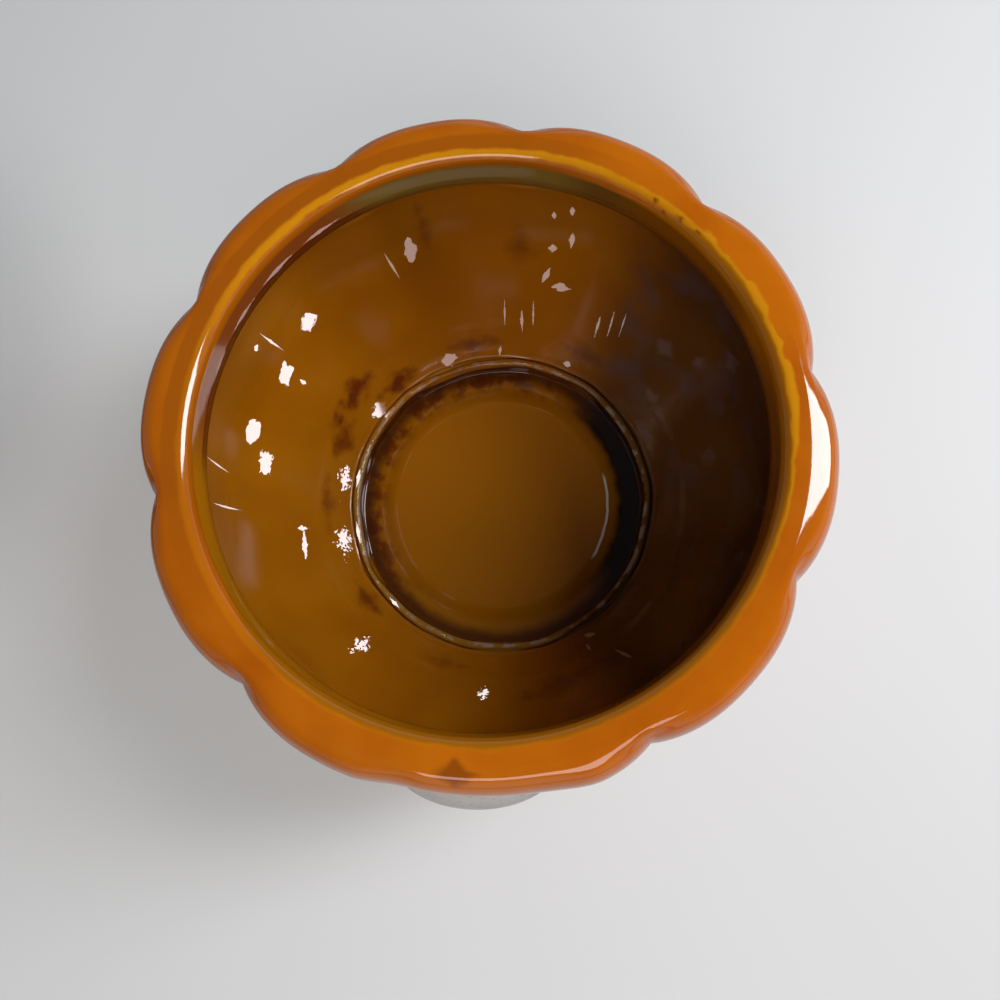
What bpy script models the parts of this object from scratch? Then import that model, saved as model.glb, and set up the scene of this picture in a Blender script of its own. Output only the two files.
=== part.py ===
"""Pumpkin-shaped ceramic canister: a lobed jar, and its lid with a rubber seal, laid upside down beside it.

Metres, +Z up. The origin is the middle of the jar's foot on the table, and the front of the jar faces -Y.
The lid is drawn where it sits when the jar is closed, and then swung off the jar about lid_hinge.
"""

from math import copysign, cos, pi, radians, sin

import bmesh
import bpy
from mathutils import Matrix, Vector

MM = 0.001

# The lobes, which run round the jar and the lid alike
LOBES = 10
STEPS_PER_LOBE = 8
FIRST_GROOVE = radians(10.8)
GROOVE_SHARPNESS = 2.8

# The jar's outer side: a full belly, and a flat shoulder that rolls over where the lobes' tops are
BELLY_RADIUS = 80.3 * MM
BELLY_HEIGHT = 62 * MM
BELLY_GROOVE = 5 * MM
UNDERSIDE_RADIUS = 50 * MM
SHOULDER_RADIUS = 74.5 * MM
SHOULDER_FULLNESS = 2.9
SHOULDER_GROOVE = 3.1 * MM
SHOULDER_NOTCH = 1.3 * MM
FOOT_RADIUS = 52.5 * MM
FOOT_HEIGHT = 4.5 * MM
FOOT_EDGE = 1.5 * MM

# The lip, which a fine crease parts from the lobes, and the collar below it, where the lid's seal closes
LIP_HEIGHT = 99 * MM
LIP_RADIUS = 71 * MM
CREASE_WIDTH = 1.6 * MM
CREASE_DEPTH = 0.25 * MM
CREST_RADIUS = 67.8 * MM
COLLAR_RADIUS = 65 * MM
COLLAR_DEPTH = 8 * MM

# The jar's inner side, and the floor that is sunk as a round well behind a ridge
INNER_BELLY_RADIUS = 74 * MM
INNER_BELLY_HEIGHT = 60 * MM
INNER_GROOVE = 3.5 * MM
RIDGE_RADIUS = 47 * MM
RIDGE_HEIGHT = 11.6 * MM
RIDGE_BEAD = 2.6 * MM
FLOOR_HEIGHT = 5.6 * MM
FLOOR_BEND = 3 * MM
FLOOR_RISE = 0.5 * MM

# The raised oval on the front of the jar
BOSS_WIDTH = 42 * MM
BOSS_TALL = 32 * MM
BOSS_STANDS_OUT = 5.2 * MM
BOSS_SUNK = 7 * MM
BOSS_ACROSS = -1.8 * MM
BOSS_HEIGHT = 62 * MM

# The lid, whose heights count from the seat, where its flange meets the lip
SEAT_GAP = 0.3 * MM
LID_RADIUS = 75.5 * MM
LID_TOP = 37.2 * MM
LID_SHOULDER = 24 * MM
LID_EDGE = 3 * MM
LID_WALL = 5 * MM
LID_GROOVE = 3.8 * MM
LID_INNER_GROOVE = 2 * MM
PAD_RADIUS = 15 * MM
PAD_HEIGHT = 35 * MM
PLUG_RADIUS = 61.6 * MM
PLUG_DEPTH = 10 * MM
PLUG_WALL = 4.6 * MM
PLUG_EDGE = 1.5 * MM
PLUG_FILLET = 0.25 * MM

# The stem
STEM_GAP = 0.3 * MM
STEM_FOOT_RADIUS = 13.5 * MM
STEM_WAIST_RADIUS = 7.5 * MM
STEM_END_RADIUS = 10.5 * MM
STEM_LENGTH = 46 * MM
STEM_LEAN = 8 * MM
STEM_TWIST = radians(25)
STEM_FLUTES = 5
STEM_FLUTE_DEPTH = 0.09
STEM_STEPS = 20
STEM_RINGS = 9

# The rubber seal
SEAL_GAP = 0.35 * MM
SEAL_BAND = 1.15 * MM
SEAL_HEIGHT = 7.2 * MM
SEAL_STEPS = 60
COLLAR_GAP = 0.4 * MM
FIN_HEIGHTS = (1.2 * MM, 4.4 * MM)
FIN_ROOT = 1.3 * MM
FIN_TIP = 0.5 * MM
FIN_RISE = 1.1 * MM

# How the lid comes off: half a turn and a little more about an axis beside the jar
HINGE_REACH = 112 * MM
HINGE_HEIGHT = 94.2 * MM
LID_SWING = radians(188)

SEAT_HEIGHT = LIP_HEIGHT + SEAT_GAP
STEM_HEIGHT = SEAT_HEIGHT + PAD_HEIGHT + STEM_GAP


def clear_scene():
    for thing in list(bpy.data.objects):
        bpy.data.objects.remove(thing, do_unlink=True)


def coloured(name, colour, roughness):
    """A material in the piece's own colour."""
    material = bpy.data.materials.new(name)
    material.use_nodes = True
    shader = material.node_tree.nodes["Principled BSDF"]
    shader.inputs["Base Color"].default_value = (*colour, 1)
    shader.inputs["Roughness"].default_value = roughness
    return material


def finished(name, bm, material):
    """The object made from a bmesh, shaded smooth except at its real edges."""
    bmesh.ops.recalc_face_normals(bm, faces=bm.faces)
    mesh = bpy.data.meshes.new(name)
    bm.to_mesh(mesh)
    bm.free()
    mesh.materials.append(material)
    mesh.shade_smooth()
    mesh.set_sharp_from_angle(angle=radians(50))
    thing = bpy.data.objects.new(name, mesh)
    bpy.context.scene.collection.objects.link(thing)
    return thing


def arc(middle, radii, start, end, count, fullness=2):
    """Points along an ellipse's arc, as (radius, height), with the angles in degrees.

    A fullness of 2 is a true ellipse, and past 2 the arc grows squarer.
    """

    def swing(value):
        return copysign(abs(value) ** (2 / fullness), value)

    turns = [radians(start + (end - start) * i / (count - 1)) for i in range(count)]
    return [(middle[0] + radii[0] * swing(cos(t)), middle[1] + radii[1] * swing(sin(t))) for t in turns]


def smooth(value, start, end):
    """0 up to start, 1 from end on, and an even slope between."""
    t = min(max((value - start) / (end - start), 0), 1)
    return t * t * (3 - 2 * t)


def turned(outline, steps, start=0.0):
    """A closed bmesh turned about Z from (radius, height) points, each with its groove if it has one.

    A groove is how far the valley between two lobes goes in and goes down at that point, and how soft it is,
    from 0, a crease, to 1, a wave. The mesh keeps these three values for press_grooves.
    """
    bm = bmesh.new()
    groove = bm.verts.layers.float_vector.new("groove")
    points = []
    for radius, height, *pressed in outline:
        point = bm.verts.new((radius * cos(start), radius * sin(start), height))
        point[groove] = pressed or (0, 0, 0)
        points.append(point)
    edges = [bm.edges.new(pair) for pair in zip(points, points[1:])]
    if outline[0][0] > 0:
        edges.append(bm.edges.new((points[-1], points[0])))
    bmesh.ops.spin(
        bm, geom=points + edges, cent=(0, 0, 0), axis=(0, 0, 1), angle=2 * pi, steps=steps, use_merge=True
    )
    bmesh.ops.remove_doubles(bm, verts=bm.verts, dist=1e-7)
    return bm


def front_fill(turn, height):
    """How far the groove behind the boss is filled, from 0 to 1: smooth clay there, a groove again by the foot."""
    from_front = abs((turn + pi / 2 + pi) % (2 * pi) - pi)
    return (1 - smooth(from_front, radians(8), radians(20))) * smooth(height, 20 * MM, 46 * MM)


def press_grooves(bm, smooth_front=False):
    """Presses the valleys between the lobes into a turned mesh, from the values that it keeps."""
    groove = bm.verts.layers.float_vector["groove"]
    lobe = 2 * pi / LOBES
    for point in bm.verts:
        inward, down, softness = point[groove]
        outward = Vector((point.co.x, point.co.y, 0)).normalized()
        turn = outward.xy.angle_signed(Vector((1, 0)), 0)
        across = 2 * (((turn - FIRST_GROOVE) / lobe) % 1) - 1
        crease = abs(across) ** GROOVE_SHARPNESS
        wave = (1 - cos(pi * across)) / 2
        share = crease + (wave - crease) * softness
        if smooth_front:
            share *= 1 - front_fill(turn, point.co.z)
        point.co -= (outward * inward + Vector((0, 0, down))) * share


def jar_outside(grow=0.0):
    """The jar's outer side, from the middle of its foot up over its lobes to the crease beside its lip."""
    foot = FOOT_RADIUS + grow
    belly = BELLY_RADIUS + grow
    top = LIP_HEIGHT + grow
    under = (belly - UNDERSIDE_RADIUS, BELLY_HEIGHT - FOOT_HEIGHT)
    over = (belly - SHOULDER_RADIUS, top - BELLY_HEIGHT)
    outline = [(0, -grow)]
    outline += arc((foot - FOOT_EDGE, FOOT_EDGE - grow), (FOOT_EDGE, FOOT_EDGE), -90, 0, 3)
    outline += [(foot, FOOT_HEIGHT - grow)]
    outline += arc((UNDERSIDE_RADIUS, BELLY_HEIGHT), under, -80, 0, 6)
    outline += arc((SHOULDER_RADIUS, BELLY_HEIGHT), over, 0, 90, 11, fullness=SHOULDER_FULLNESS)[1:]
    outline += arc((LIP_RADIUS, top), (CREASE_WIDTH / 2, CREASE_DEPTH), 0, -180, 3)

    def groove(radius, height):
        """Full on the belly, running out at the foot, and shallower over the shoulder down to the lip."""
        above_foot = smooth(height, FOOT_HEIGHT, 26 * MM)
        up_shoulder = smooth(height, BELLY_HEIGHT, 93 * MM)
        over_top = smooth(radius, LIP_RADIUS, 78.5 * MM) if height > BELLY_HEIGHT else 1
        deep = BELLY_GROOVE + (SHOULDER_GROOVE - BELLY_GROOVE) * up_shoulder
        notch = SHOULDER_NOTCH * up_shoulder * smooth(radius, LIP_RADIUS, SHOULDER_RADIUS)
        return deep * above_foot * over_top, notch

    return [(*point, *groove(*point), 0) for point in outline]


def jar_lip():
    """The lip's crest, from the end of the band where the lid rests round its inner edge into the collar."""
    round_ = CREST_RADIUS - COLLAR_RADIUS
    return arc((CREST_RADIUS, LIP_HEIGHT - round_), (round_, round_), 90, 180, 6)


def jar_inside():
    """The jar's inner side, from the bottom of the collar down to the middle of the floor."""
    collar_foot = LIP_HEIGHT - COLLAR_DEPTH
    neck = COLLAR_RADIUS - 3 * MM
    shoulder = (INNER_BELLY_RADIUS - neck, collar_foot - 0.5 * MM - INNER_BELLY_HEIGHT)
    bowl = (INNER_BELLY_RADIUS - RIDGE_RADIUS, INNER_BELLY_HEIGHT - RIDGE_HEIGHT + 1 * MM)
    bend = (RIDGE_RADIUS - RIDGE_BEAD - FLOOR_BEND, FLOOR_HEIGHT + FLOOR_BEND)
    outline = [(COLLAR_RADIUS, collar_foot)]
    outline += arc((neck, INNER_BELLY_HEIGHT), shoulder, 75, 0, 5, fullness=3)
    outline += arc((RIDGE_RADIUS, INNER_BELLY_HEIGHT), bowl, 0, -82, 7)[1:]
    outline += arc((RIDGE_RADIUS, RIDGE_HEIGHT - RIDGE_BEAD), (RIDGE_BEAD, RIDGE_BEAD), 70, 180, 4)
    outline += arc(bend, (FLOOR_BEND, FLOOR_BEND), -25, -90, 3)
    outline += [(20 * MM, FLOOR_HEIGHT + 0.6 * FLOOR_RISE), (0, FLOOR_HEIGHT + FLOOR_RISE)]

    def depth(height):
        above_ridge = smooth(height, RIDGE_HEIGHT, 32 * MM)
        below_collar = 1 - smooth(height, 80 * MM, collar_foot - 1 * MM)
        return INNER_GROOVE * above_ridge * below_collar

    return [(*point, depth(point[1]), 0, 1) for point in outline]


def make_jar_body():
    bm = turned(jar_outside() + jar_lip() + jar_inside(), LOBES * STEPS_PER_LOBE, FIRST_GROOVE)
    press_grooves(bm, smooth_front=True)
    return finished("jar_body", bm, coloured("jar glaze", (0.56, 0.16, 0.015), 0.12))


def make_front_boss():
    """A flattened ball on the belly, cut to the jar's outside with a thin gap for the slip that joins them."""
    cutter_mesh = turned([*jar_outside(SEAT_GAP), (0, LIP_HEIGHT)], LOBES * STEPS_PER_LOBE, FIRST_GROOVE)
    press_grooves(cutter_mesh, smooth_front=True)
    cutter = finished("jar_outside_cutter", cutter_mesh, coloured("cutter", (0.5, 0.5, 0.5), 0.5))
    cutter.hide_render = True
    cutter.display_type = "WIRE"

    bm = bmesh.new()
    bmesh.ops.create_uvsphere(bm, u_segments=24, v_segments=14, radius=1)
    half = Vector((BOSS_WIDTH / 2, BOSS_STANDS_OUT + BOSS_SUNK, BOSS_TALL / 2))
    bmesh.ops.scale(bm, verts=bm.verts, vec=half)
    boss = finished("front_boss", bm, coloured("boss glaze", (0.42, 0.42, 0.40), 0.15))
    boss.location = (BOSS_ACROSS, BOSS_SUNK - BELLY_RADIUS, BOSS_HEIGHT)
    fit = boss.modifiers.new("fit to the jar", "BOOLEAN")
    fit.operation = "DIFFERENCE"
    fit.solver = "EXACT"
    fit.object = cutter
    return boss


def make_lid_hinge():
    """The axis that the lid turns about, with everything on it swung off the jar."""
    hinge = bpy.data.objects.new("lid_hinge", None)
    hinge.location = (-HINGE_REACH, 0, HINGE_HEIGHT)
    hinge.rotation_euler = (0, -LID_SWING, 0)
    bpy.context.scene.collection.objects.link(hinge)
    return hinge


def lid_outline():
    """The lid's section, from the middle of its top round the flange and the plug to the middle of its ceiling."""
    round_ = LID_EDGE / 2
    dome = (LID_RADIUS - LID_SHOULDER, LID_TOP - LID_EDGE)
    top = [(0, PAD_HEIGHT), (PAD_RADIUS, PAD_HEIGHT), (PAD_RADIUS + 2 * MM, PAD_HEIGHT + 0.5 * MM)]
    top += arc((LID_SHOULDER, LID_EDGE), dome, 90, 0, 7)
    top += arc((LID_RADIUS - round_, round_), (round_, round_), -10, -90, 3)

    plug_inner = PLUG_RADIUS - PLUG_WALL
    plug_foot = PLUG_EDGE - PLUG_DEPTH
    flange = [(PLUG_RADIUS + PLUG_FILLET, 0), (PLUG_RADIUS, -PLUG_FILLET)]
    flange += arc((PLUG_RADIUS - PLUG_EDGE, plug_foot), (PLUG_EDGE, PLUG_EDGE), 0, -90, 3)
    flange += arc((plug_inner + PLUG_EDGE, plug_foot), (PLUG_EDGE, PLUG_EDGE), -90, -180, 3)

    ceiling = PAD_HEIGHT - LID_WALL
    room = (LID_RADIUS - LID_WALL - LID_SHOULDER, ceiling - 1 * MM)
    hollow = [(plug_inner, LID_WALL - PLUG_EDGE), (plug_inner + PLUG_EDGE, LID_WALL)]
    hollow += [(LID_RADIUS - LID_WALL - PLUG_EDGE, LID_WALL)]
    hollow += arc((LID_SHOULDER, 1 * MM), room, 12, 84, 5)
    hollow += [(PAD_RADIUS - 1 * MM, ceiling), (0, ceiling)]

    def outer(radius, height):
        """Towards the middle of the seat, and shallow at the rim, which covers the lip all round."""
        rim = 1 - 0.65 * (1 - smooth(height, 1 * MM, 12 * MM))
        depth = LID_GROOVE * smooth(radius, PAD_RADIUS + 2 * MM, 42 * MM) * rim
        return Vector((radius, height)).normalized() * depth

    def inner(radius, height):
        depth = LID_INNER_GROOVE * smooth(radius, PAD_RADIUS, 48 * MM) * smooth(height, LID_WALL, 12 * MM)
        return Vector((radius, height)).normalized() * depth

    outline = [(*point, *outer(*point), 0) for point in top]
    outline += flange
    outline += [(*point, *inner(*point), 1) for point in hollow]
    return outline


def make_lid_shell(hinge):
    bm = turned(lid_outline(), LOBES * STEPS_PER_LOBE, FIRST_GROOVE)
    press_grooves(bm)
    lid = finished("lid_shell", bm, coloured("lid glaze", (0.56, 0.16, 0.015), 0.12))
    lid.parent = hinge
    lid.location = (HINGE_REACH, 0, SEAT_HEIGHT - HINGE_HEIGHT)
    return lid


def stem_ring(share):
    """The middle and the radius of the stem at a share of its length: a wide foot, a waist, and a wider end."""
    foot = (STEM_FOOT_RADIUS - STEM_WAIST_RADIUS) * (1 - share) ** 3
    end = (STEM_END_RADIUS - STEM_WAIST_RADIUS) * share ** 2
    return Vector((STEM_LEAN * share ** 2, 0, STEM_LENGTH * share)), STEM_WAIST_RADIUS + foot + end


def near(point, ring):
    """The place in a ring of the point that this one was drawn up from."""
    return min(range(len(ring)), key=lambda k: (ring[k].co - point.co).length)


def make_lid_stem(hinge):
    """A fluted stem drawn up ring by ring, and cut off so that its end lies flat on the table."""
    bm = bmesh.new()
    bmesh.ops.create_circle(bm, cap_ends=True, segments=STEM_STEPS, radius=1)
    ring = list(bm.verts)
    for i in range(STEM_RINGS + 1):
        share = i / STEM_RINGS
        middle, radius = stem_ring(share)
        for k, point in enumerate(ring):
            turn = 2 * pi * k / STEM_STEPS
            flute = 1 + STEM_FLUTE_DEPTH * cos(STEM_FLUTES * turn)
            turn += STEM_TWIST * share
            point.co = middle + Vector((cos(turn), sin(turn), 0)) * radius * flute
        if i < STEM_RINGS:
            loop = {edge for point in ring for edge in point.link_edges if set(edge.verts) <= set(ring)}
            grown = bmesh.ops.extrude_edge_only(bm, edges=list(loop))["geom"]
            above = [point for point in grown if isinstance(point, bmesh.types.BMVert)]
            ring = sorted(above, key=lambda point: near(point, ring))
    bmesh.ops.contextual_create(bm, geom=ring)

    axis = Vector((-HINGE_REACH, 0, HINGE_HEIGHT))
    closing = Matrix.Rotation(LID_SWING, 3, "Y")
    cut = bmesh.ops.bisect_plane(
        bm,
        geom=list(bm.verts) + list(bm.edges) + list(bm.faces),
        plane_co=axis - closing @ axis - Vector((0, 0, STEM_HEIGHT)),
        plane_no=closing @ Vector((0, 0, -1)),
        clear_outer=True,
    )
    rim = [edge for edge in cut["geom_cut"] if isinstance(edge, bmesh.types.BMEdge)]
    bmesh.ops.contextual_create(bm, geom=rim)
    stem = finished("lid_stem", bm, coloured("stem glaze", (0.10, 0.12, 0.03), 0.3))
    stem.parent = hinge
    stem.location = (HINGE_REACH, 0, STEM_HEIGHT - HINGE_HEIGHT)
    return stem


def seal_outline():
    """The seal's section: a band that grips the plug, with two fins that slant up to the collar."""
    inner = PLUG_RADIUS + SEAL_GAP
    band = inner + SEAL_BAND
    tip = COLLAR_RADIUS - COLLAR_GAP
    foot = -SEAL_HEIGHT - SEAT_GAP
    outline = [(inner, foot), (band, foot)]
    for height in FIN_HEIGHTS:
        root = foot + height
        rise = root + FIN_RISE
        outline += [(band, root), (tip, rise), (tip, rise + FIN_TIP), (band, root + FIN_ROOT)]
    outline += [(band, -SEAT_GAP), (inner, -SEAT_GAP)]
    return outline


def make_rubber_seal(hinge):
    bm = turned(seal_outline(), SEAL_STEPS)
    seal = finished("rubber_seal", bm, coloured("seal rubber", (0.62, 0.61, 0.58), 0.6))
    seal.parent = hinge
    seal.location = (HINGE_REACH, 0, SEAT_HEIGHT - HINGE_HEIGHT)
    return seal


clear_scene()
make_jar_body()
make_front_boss()
lid_hinge = make_lid_hinge()
make_lid_shell(lid_hinge)
make_lid_stem(lid_hinge)
make_rubber_seal(lid_hinge)
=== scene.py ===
"""The looks of a pumpkin-shaped ceramic canister: an open jar, with its lid upside down beside it.

Metres, +Z up, the front of the jar facing -Y. Heights count from the table, and angles from +X.
"""

from math import atan2, copysign, cos, hypot, pi, radians, sin

import bmesh
import bpy
from mathutils import Matrix, Vector


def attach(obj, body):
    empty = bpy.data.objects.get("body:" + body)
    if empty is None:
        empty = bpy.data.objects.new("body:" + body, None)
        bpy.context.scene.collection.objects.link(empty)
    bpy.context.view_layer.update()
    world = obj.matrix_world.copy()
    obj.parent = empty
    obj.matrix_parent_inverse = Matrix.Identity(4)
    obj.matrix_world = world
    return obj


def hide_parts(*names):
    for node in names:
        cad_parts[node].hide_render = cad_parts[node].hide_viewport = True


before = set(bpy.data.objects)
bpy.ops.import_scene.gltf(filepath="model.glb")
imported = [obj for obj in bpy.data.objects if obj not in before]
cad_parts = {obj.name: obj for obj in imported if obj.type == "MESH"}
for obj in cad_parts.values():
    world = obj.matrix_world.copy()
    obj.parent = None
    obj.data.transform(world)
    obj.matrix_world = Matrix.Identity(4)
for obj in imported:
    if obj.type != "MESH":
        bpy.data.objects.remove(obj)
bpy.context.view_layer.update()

MM = 0.001

# The camera looks steeply down into the open jar from a hand's length above its mouth, as the photograph
# was taken: a little in front of the jar's middle, leaning a little forwards and to the right.
CAMERA_PLACE = (0.0131, -0.0459, 0.2691)
CAMERA_TILT = 0.176
CAMERA_ROLL = 0.050
LENS = 29.12

eye = bpy.data.cameras.new("camera")
eye.lens = LENS
eye.clip_start = 5 * MM
camera = bpy.data.objects.new("camera", eye)
leaning = Matrix.Rotation(CAMERA_TILT, 4, "X") @ Matrix.Rotation(CAMERA_ROLL, 4, "Y")
camera.matrix_world = Matrix.Translation(CAMERA_PLACE) @ leaning
bpy.context.scene.collection.objects.link(camera)
bpy.context.scene.camera = camera


class Wire:
    """A value in a material's node tree. Python's operators on it add Math nodes."""

    def __init__(self, tree, socket):
        self.tree = tree
        self.socket = socket

    def node(self, kind, settings, inputs, output=0):
        """A new node of this kind, its settings set first, and the wire that leaves it."""
        node = self.tree.nodes.new(kind)
        for name, value in settings.items():
            setattr(node, name, value)
        for name, value in inputs.items():
            if isinstance(value, Wire):
                self.tree.links.new(value.socket, node.inputs[name])
            else:
                node.inputs[name].default_value = value
        return Wire(self.tree, node.outputs[output])

    def maths(self, operation, first, *others):
        return self.node("ShaderNodeMath", {"operation": operation}, dict(enumerate((first, *others))))

    def __add__(self, other):
        return self.maths("ADD", self, other)

    def __radd__(self, other):
        return self.maths("ADD", other, self)

    def __sub__(self, other):
        return self.maths("SUBTRACT", self, other)

    def __rsub__(self, other):
        return self.maths("SUBTRACT", other, self)

    def __mul__(self, other):
        return self.maths("MULTIPLY", self, other)

    def __rmul__(self, other):
        return self.maths("MULTIPLY", other, self)

    def __truediv__(self, other):
        return self.maths("DIVIDE", self, other)

    def rises(self, start, end):
        """0 up to start, 1 from end on, and a smooth slope between. With end before start it falls."""
        ends = {"Value": self, "From Min": start, "From Max": end}
        return self.node("ShaderNodeMapRange", {"interpolation_type": "SMOOTHSTEP"}, ends)

    def along(self, axis):
        """This vector's share along X, Y or Z."""
        return self.node("ShaderNodeSeparateXYZ", {}, {0: self}, axis)

    def kept(self, name):
        """The number that the mesh keeps at each point under this name."""
        return self.node("ShaderNodeAttribute", {"attribute_name": name}, {}, "Fac")

    def bump(self):
        """The surface's direction where this wire is its relief in millimetres."""
        return self.node("ShaderNodeBump", {}, {"Height": self, "Distance": MM})

    def band(self, start, end, soft):
        """1 between start and end, and 0 past them, with a soft edge."""
        return self.rises(start - soft, start + soft) * self.rises(end + soft, end - soft)

    def tints(self, under, over):
        """The colour under, covered by the colour over where this wire is 1."""
        return self.node("ShaderNodeMix", {"data_type": "RGBA"}, {0: self, 6: under, 7: over}, 2)

    def near(self, spot, reach, angle, roll=0.0):
        """1 at a spot on a wall that faces this angle about Z, 0 on a diamond round it, and less beyond.

        Its reach runs through the wall, along it and up it, and it is rolled about the wall's outward line.
        """
        own = {"Vector": self, "Location": spot, "Rotation": (roll, 0, angle), "Scale": reach}
        own = self.node("ShaderNodeMapping", {"vector_type": "TEXTURE"}, own)
        size = own.node("ShaderNodeVectorMath", {"operation": "ABSOLUTE"}, {0: own})
        shares = {0: size, 1: (1, 1, 1)}
        return 1 - size.node("ShaderNodeVectorMath", {"operation": "DOT_PRODUCT"}, shares, "Value")

    def leans(self, under, over):
        """The direction under, swung round to the direction over where this wire is 1."""
        between = self.node("ShaderNodeMix", {"data_type": "VECTOR"}, {0: self, 4: under, 5: over}, 1)
        return between.node("ShaderNodeVectorMath", {"operation": "NORMALIZE"}, {0: between})

    def cloud(self, size, detail=2.0, stretch=(1, 1, 1)):
        """Soft noise round 0.5 from this vector, its blots about this size in metres."""
        place = self.node("ShaderNodeMapping", {}, {"Vector": self, "Scale": stretch})
        return place.node("ShaderNodeTexNoise", {}, {"Vector": place, "Scale": 1 / size, "Detail": detail})


def new_material(name, roughness):
    """A material, its shader, and the wire that carries the object's own coordinates."""
    material = bpy.data.materials.new(name)
    material.use_nodes = True
    tree = material.node_tree
    shader = tree.nodes["Principled BSDF"]
    shader.inputs["Roughness"].default_value = roughness
    shader.inputs["IOR"].default_value = 1.6
    start = Wire(tree, None)
    return material, shader, start.node("ShaderNodeTexCoord", {}, {}, "Object")


def joined(wire, shader, socket):
    wire.tree.links.new(wire.socket, shader.inputs[socket])


# A tall white softbox on the right lights the left of the inside, a wide pinkish one stands at the front, and
# one above it fills the shadows and isn't mirrored in the glaze. The room round them is pale low down, duller
# on the left, and dark overhead, where whoever takes the picture leans over.
RIGHT_BOX = {"place": (0.551, 0.158, 0.613), "reach": 0.53, "width": 0.235, "elevation": 43.5, "strength": 16}
FRONT_BOX = {"place": (0.08, -0.495, 0.594), "reach": 0.27, "width": 0.50, "elevation": 45, "strength": 4.4}
FILL_BOX = {"place": (-0.15, -0.52, 0.85), "reach": 0.5, "width": 0.5, "elevation": 58, "strength": 2.3}
ROOM_LOW = (0.52, 0.54, 0.56, 1)
ROOM_LEFT = (0.27, 0.26, 0.24, 1)
ROOM_OVERHEAD = (0.035, 0.034, 0.036, 1)


def softbox(name, axis, place, reach, width, elevation, strength, colour):
    """A rectangular lamp tilted about one level axis, X or Y, with the same strength all over its face."""
    lamp = bpy.data.lights.new(name, "AREA")
    lamp.shape = "RECTANGLE"
    lamp.size, lamp.size_y = (reach, width) if axis == "Y" else (width, reach)
    lamp.energy = strength * reach * width * pi
    lamp.color = colour
    box = bpy.data.objects.new(name, lamp)
    tilt = radians(90 - elevation)
    box.matrix_world = Matrix.Translation(place) @ Matrix.Rotation(tilt, 4, axis)
    bpy.context.scene.collection.objects.link(box)
    return box


softbox("right_softbox", "Y", **RIGHT_BOX, colour=(0.99, 0.96, 1))
softbox("front_softbox", "X", **FRONT_BOX, colour=(1, 0.85, 0.82))
softbox("fill_softbox", "X", **FILL_BOX, colour=(1, 0.97, 0.94)).visible_glossy = False

room = bpy.data.worlds.new("room")
room.use_nodes = True
outward = Wire(room.node_tree, None).node("ShaderNodeTexCoord", {}, {}, "Generated")
walls = outward.along("X").rises(-0.85, 0.1).tints(ROOM_LEFT, ROOM_LOW)
backdrop = outward.along("Z").rises(0.62, 0).tints(ROOM_OVERHEAD, walls)
joined(backdrop, room.node_tree.nodes["Background"], "Color")
bpy.context.scene.world = room
bpy.context.scene.view_settings.view_transform = "Standard"

# The table is a plain pale board, which the camera sees a little paler than the lamps make it. It keeps the
# jar's shadow.
TABLE_COLOUR = (0.50, 0.525, 0.525, 1)
TABLE_PALER = (0.15, 0.16, 0.16, 1)
BLACK = (0, 0, 0, 1)
TABLE_SIZE = 6

board = bmesh.new()
bmesh.ops.create_grid(board, x_segments=1, y_segments=1, size=TABLE_SIZE / 2)
bmesh.ops.translate(board, verts=board.verts, vec=(0, 0, -0.1 * MM))
table_mesh = bpy.data.meshes.new("table")
board.to_mesh(table_mesh)
board.free()
table = bpy.data.objects.new("table", table_mesh)
bpy.context.scene.collection.objects.link(table)
paint, shader, place = new_material("pale board", 0.7)
shader.inputs["Base Color"].default_value = TABLE_COLOUR
shader.inputs["Emission Strength"].default_value = 1
seen = place.node("ShaderNodeLightPath", {}, {}, "Is Camera Ray")
joined(seen.tints(BLACK, TABLE_PALER), shader, "Emission Color")
table_mesh.materials.append(paint)

# The jar is stoneware, slip-cast in one piece in a mould with ten lobes, then dipped in amber glaze, which
# is orange outside, yellow where it runs thin over the lip, and dark where it pools. The foot is wiped bare.
LOBES = 10
FIRST_GROOVE = radians(10.8)
GROOVE_SHARPNESS = 2.8
JAR_STEPS = 320
BELLY_RADIUS = 80.3 * MM
BELLY_HEIGHT = 62 * MM
BELLY_GROOVE = 5 * MM
FRONT_SLACK = 1.4 * MM
UNDERSIDE_RADIUS = 50 * MM
SHOULDER_FULLNESS = 3.8
SHOULDER_SLOPE = 0.05
SHOULDER_GROOVE = 3.1 * MM
SHOULDER_NOTCH = 1.8 * MM
FOOT_RADIUS = 52.5 * MM
FOOT_HEIGHT = 4.5 * MM
FOOT_EDGE = 1.5 * MM
LIP_HEIGHT = 99 * MM
LIP_RADIUS = 71 * MM
LIP_ROLLS_FROM = 70.6 * MM
LIP_ROLL = 0.05
LIP_ROLLS_AT = radians(-15)
CREST_RADIUS = 67.8 * MM
COLLAR_RADIUS = 65 * MM
COLLAR_DEPTH = 11 * MM
NECK_RADIUS = 62 * MM
INNER_BELLY_RADIUS = 74 * MM
INNER_BELLY_HEIGHT = 60 * MM
INNER_GROOVE = 3.5 * MM
RIDGE_RADIUS = 47.2 * MM
RIDGE_HEIGHT = 11.6 * MM
RIDGE_BEAD = 1.4 * MM
RIDGE_WANDER = 0.7 * MM
MOAT_HEIGHT = 5.2 * MM
MOAT_RADIUS = 40 * MM
DISC_RISE = 1.7 * MM
DISC_RADIUS = 33.5 * MM
WALL_FOOT_RADIUS = 48.5 * MM
WALL_FOOT_HEIGHT = 11 * MM
FLOOR_BEND = 0.6 * MM


def smooth(value, start, end):
    """0 up to start, 1 from end on, and a smooth slope between."""
    t = min(max((value - start) / (end - start), 0), 1)
    return t * t * (3 - 2 * t)


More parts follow.
